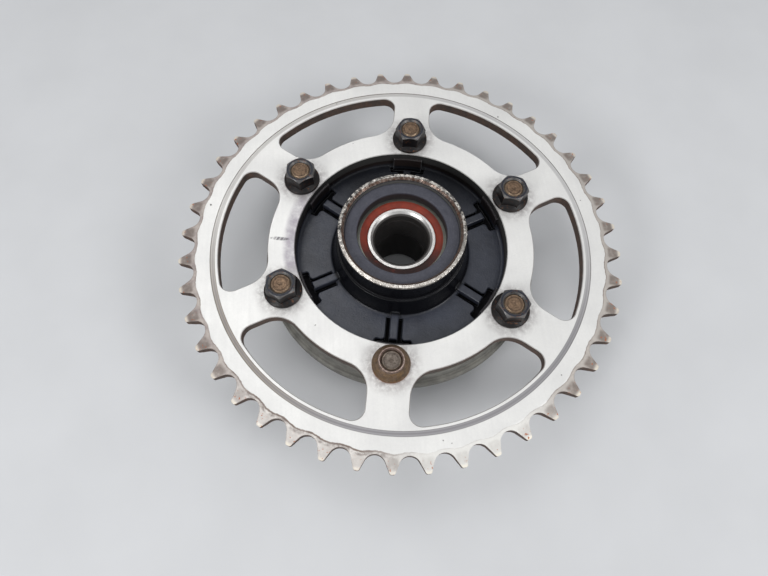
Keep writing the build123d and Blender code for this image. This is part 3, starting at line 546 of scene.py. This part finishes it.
# ---- bearing, seal and spacers -----------------------------------------------------------------------
def turned_metal(slot, light, dark, stain_and_reflection, roughness, staining=0.3):
    """Turned or ground metal: fine rings, light stains, rubbed edges and painted shade in the bore."""
    look = Look(slot)
    rings = look.round_streaks(30.0, 0.25, 1.2)
    base = look.mix(rings, light, dark)
    spots = look.both(look.noise(3.0, 5.0, 0.65, lean=-0.04), staining)
    base = look.paint(base, stain_and_reflection, spots)
    edge = look.both(look.edge(0.3, 0.03), look.noise(2.0, lean=0.15))
    base = look.paint(base, light, edge, 0.5)
    # painted shade: the bore painted near black
    bore = look.rise(look.radius, AXLE_RADIUS + 1.1, AXLE_RADIUS + 0.6)
    grease_and_shade = look.mix(look.noise(3.0, 4.0), colour(20, 17, 16), colour(38, 32, 29))
    base = look.paint(base, grease_and_shade, bore, 0.96)
    dull = look.either(spots, bore)
    look.bump((rings, 0.01), (look.noise(1.4, 3.0), 0.01))
    return look.finish(base, look.blend(dull, 0.95, 0.4), look.blend(dull, roughness, roughness + 0.25))


def rubber(slot, light, dark, dust, roughness, grease_and_shade=None):
    """Moulded rubber: fine grain, patches of dust, faint rubbing round the axis, painted shade where asked
    for.
    """
    look = Look(slot)
    base = look.mix(look.noise(4.0, 4.0, 0.6), light, dark)
    rub = look.round_streaks(16.0, 0.8)
    base = look.paint(base, dust, rub, 0.3)
    base = look.paint(base, dust, look.noise(0.9, 3.0, 0.7, contrast=2.6, lean=-0.1), 0.4)
    edge = look.both(look.edge(0.35, 0.03, 0.25), look.noise(3.0, lean=0.1))
    base = look.paint(base, dust, edge, 0.5)
    if grease_and_shade:
        # painted shade: a near-black tone laid by the mask given
        smear_and_shade = look.mix(look.noise(2.5, 4.0), colour(22, 20, 21), colour(36, 29, 28))
        base = look.paint(base, smear_and_shade, grease_and_shade(look), 0.9)
    look.bump((look.noise(0.35, 2.0), 0.01), (look.noise(2.0, 3.0), 0.03))
    return look.finish(base, 0.0, look.blend(rub, roughness, roughness + 0.15), Specular_IOR_Level=0.3)


def in_seal_mouth(look):
    """Mask of the seal's inside, below its face, where painted shade is laid."""
    return look.both(look.rise(look.z, SEAL_TOP - 0.5, SEAL_TOP - 1.6),
                     look.rise(look.radius, BORE_OF_BOSS - 1, BORE_OF_BOSS - 2))


def near_side_of_lip(look):
    """Mask of painted shade on the lip, on the side towards -y."""
    return look.both(look.sector(205, 338, 24), look.noise(4.0, 3.0, lean=0.3))


def nylon(slot):
    """Cream nylon with faint drawn-out fibres and oil in patches."""
    look = Look(slot)
    fibres = look.streaks(20.0, 2.4, 0.2, 1.5)
    base = look.mix(fibres, colour(196, 188, 160), colour(176, 164, 132))
    base = look.paint(base, colour(140, 122, 90), look.noise(5.0), 0.4)
    look.bump((fibres, 0.01))
    return look.finish(base, 0.0, look.blend(fibres, 0.4, 0.5), Subsurface_Weight=0.1)


MATERIALS = {
    "plated_steel": plated_steel(),
    "black_casting": black_casting(),
    "black_nut": black_nut(),
    "rusty_nut": rusty_nut(),
    "stud_steel": stud_steel(),
    "bearing_steel": turned_metal("bearing_steel", light=colour(206, 206, 208), dark=colour(186, 187, 190),
                                  stain_and_reflection=colour(120, 112, 100), roughness=0.2),
    "spring_steel": turned_metal("spring_steel", light=colour(96, 92, 90), dark=colour(70, 67, 66),
                                 stain_and_reflection=colour(84, 58, 42), roughness=0.42),
    "seal_case_steel": turned_metal("seal_case_steel", light=colour(118, 120, 112), dark=colour(92, 93, 88),
                                    stain_and_reflection=colour(70, 60, 50), roughness=0.4),
    "collar_steel": turned_metal("collar_steel", light=colour(228, 227, 225), dark=colour(190, 188, 186),
                                 stain_and_reflection=colour(120, 108, 98), roughness=0.28, staining=0.35),
    "cage_nylon": nylon("cage_nylon"),
    "bearing_seal_rubber": rubber("bearing_seal_rubber", light=colour(46, 44, 44), dark=colour(34, 33, 33),
                                  dust=colour(84, 78, 70), roughness=0.5),
    "seal_rubber": rubber("seal_rubber", light=colour(60, 61, 71), dark=colour(48, 49, 58),
                          dust=colour(84, 84, 90), roughness=0.5, grease_and_shade=in_seal_mouth),
    "seal_lip_rubber": rubber("seal_lip_rubber", light=colour(126, 40, 20), dark=colour(92, 29, 17),
                              dust=colour(112, 52, 36), roughness=0.5, grease_and_shade=near_side_of_lip),
}

for subpart in frame["record"]["subparts"]:
    mesh = frame["nodes"][subpart["node"]].data
    mesh.materials.clear()
    mesh.materials.append(MATERIALS[subpart["material_slot"]])


# ---- floor, light and camera, in metres --------------------------------------------------------------
FLOOR_SIZE = 40.0
FLOOR_GAP = 0.0001                  # keeps the floor from sharing a plane with the feet of the vanes
LIGHT_AIM = Vector((0, 0, 0.04))    # near the middle of the part
SKY_TINT = (0.97, 0.985, 1.0, 1)
SKY_FADE = (0.2, 0.95)              # heights on a sphere of radius 1 where the sky brightens
CAMERA_DISTANCE = 0.280             # from the middle of the ring's outer face
CAMERA_ELEVATION = radians(62.61)
CAMERA_ROLL = radians(5.73)
CAMERA_AIM_UP = radians(4.87)       # how far the aim is off the middle of the ring
CAMERA_AIM_ACROSS = radians(-1.82)
CAMERA_TURN = radians(-1.0)         # round the axis from the part's -Y side
CAMERA_LENS = 25.24                 # mm, on a sensor SENSOR_WIDTH mm wide
SENSOR_WIDTH = 36
CAMERA_NEAREST = 0.01


def make_floor():
    """Pale matt floor under the vanes, with a very faint mottle."""
    bpy.ops.mesh.primitive_plane_add(size=FLOOR_SIZE, location=(0, 0, -FLOOR_GAP))
    floor = bpy.context.object
    floor.name = "floor"
    look = Look("floor_finish")
    tone = look.mix(look.noise(60.0, 3.0), colour(192, 193, 195), colour(187, 188, 190))
    floor.data.materials.append(look.finish(tone, 0.0, 0.85))


def make_light(name, place, size, power):
    """Square soft light aimed near the middle of the part."""
    data = bpy.data.lights.new(name, "AREA")
    data.shape = "SQUARE"
    data.size = size
    data.energy = power
    light = bpy.data.objects.new(name, data)
    light.location = place
    light.rotation_euler = (LIGHT_AIM - light.location).to_track_quat("-Z", "Y").to_euler()
    bpy.context.scene.collection.objects.link(light)


def make_world(horizon, zenith):
    """Soft sky, brighter overhead than at the sides."""
    world = bpy.data.worlds.new("studio")
    world.use_nodes = True
    tree = world.node_tree
    direction = tree.nodes.new("ShaderNodeTexCoord").outputs["Generated"]
    height = tree.nodes.new("ShaderNodeSeparateXYZ")
    tree.links.new(direction, height.inputs[0])
    fade = tree.nodes.new("ShaderNodeMapRange")
    fade.interpolation_type = "SMOOTHSTEP"
    tree.links.new(height.outputs[2], fade.inputs["Value"])
    fade.inputs["From Min"].default_value, fade.inputs["From Max"].default_value = SKY_FADE
    fade.inputs["To Min"].default_value = horizon
    fade.inputs["To Max"].default_value = zenith
    background = tree.nodes["Background"]
    background.inputs["Color"].default_value = SKY_TINT
    tree.links.new(fade.outputs["Result"], background.inputs["Strength"])
    bpy.context.scene.world = world


def make_camera():
    """Camera as near to the part as the photographer was, so the near teeth look larger."""
    back = Vector((0, -cos(CAMERA_ELEVATION), sin(CAMERA_ELEVATION)))
    side = Vector((1, 0, 0))
    top = back.cross(side)
    rolled_side = cos(CAMERA_ROLL) * side + sin(CAMERA_ROLL) * top
    rolled_top = cos(CAMERA_ROLL) * top - sin(CAMERA_ROLL) * side
    aim = Matrix.Rotation(CAMERA_AIM_UP, 3, "X") @ Matrix.Rotation(CAMERA_AIM_ACROSS, 3, "Y")
    turn = Matrix.Rotation(CAMERA_TURN, 3, "Z")
    pose = turn @ (aim @ Matrix((rolled_side, rolled_top, back))).transposed()
    place = turn @ (back * CAMERA_DISTANCE) + Vector((0, 0, FACE_TOP * MM))
    data = bpy.data.cameras.new("camera")
    data.lens = CAMERA_LENS
    data.sensor_width = SENSOR_WIDTH
    data.clip_start = CAMERA_NEAREST
    camera = bpy.data.objects.new("camera", data)
    camera.matrix_world = Matrix.Translation(place) @ pose.to_4x4()
    bpy.context.scene.collection.objects.link(camera)
    bpy.context.scene.camera = camera


make_floor()
make_world(horizon=0.4, zenith=0.84)
make_light("key", place=(-0.3, 0.35, 1.1), size=0.5, power=2.2)
make_light("fill", place=(0.75, -0.35, 0.7), size=0.35, power=4.0)
make_light("front", place=(-0.5, -0.6, 0.6), size=0.25, power=3.6)
make_camera()
bpy.context.scene.view_settings.view_transform = "Standard"
